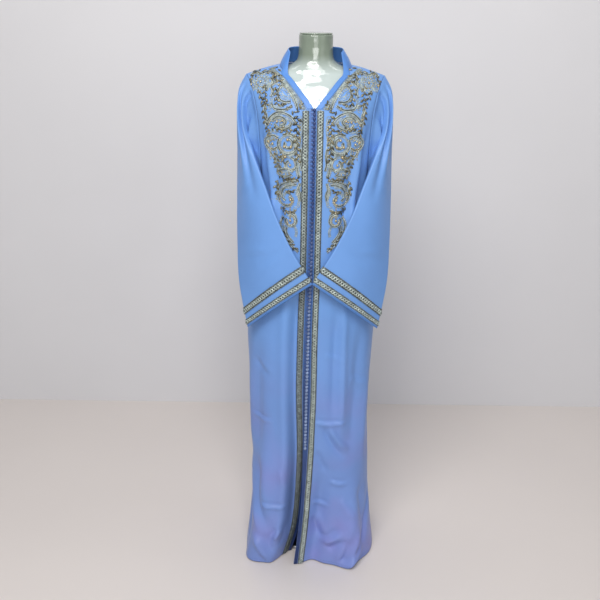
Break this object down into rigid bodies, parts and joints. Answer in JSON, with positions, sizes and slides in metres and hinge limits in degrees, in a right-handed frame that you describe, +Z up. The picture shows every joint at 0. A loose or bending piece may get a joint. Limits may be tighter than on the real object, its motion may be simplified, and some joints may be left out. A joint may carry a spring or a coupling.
{
  "type": "long-sleeved kaftan on a dress form",
  "caption": "Floor-length open-fronted kaftan with a stand collar, ball buttons, braided edges and folded sleeves, worn by a smooth limbless dress form on a round base.",
  "frame": {"origin": "on the underside of the base at floor level, 15 mm in front of the pole, below the middle of the neck", "axes": "+Z up along the pole; -Y is the front of the garment; +X is the right-hand side when it is seen from the front"},
  "size_m": [0.442, 0.3702, 1.6163],
  "materials": {
    "satin": "soft satin crepe, cornflower blue",
    "band": "plain satin, a deeper blue",
    "metal_thread": "silver-grey metallic braid",
    "leaf_bead": "dark bronze leaf beads",
    "pearl": "small gold and cream pearls",
    "button_thread": "balls wound with blue and silver thread",
    "form_shell": "polished pale grey-green shell",
    "form_cap": "polished cap",
    "stand_steel": "brushed"
  },
  "bodies": {
    "root": {"front_right": "satin", "front_left": "satin", "back": "satin", "sleeve_right": "satin", "sleeve_left": "satin", "collar": "band", "placket_right": "band", "placket_left": "band", "cuff_edge_right": "band", "cuff_edge_left": "band", "front_braid_right": "metal_thread", "front_braid_left": "metal_thread", "cuff_braid_right_upper": "metal_thread", "cuff_braid_right_lower": "metal_thread", "cuff_braid_left_upper": "metal_thread", "cuff_braid_left_lower": "metal_thread", "button_row": "button_thread", "form_torso": "form_shell", "form_cap": "form_cap", "stand_base": "stand_steel", "stand_pole": "stand_steel"}
  },
  "joints": []
}
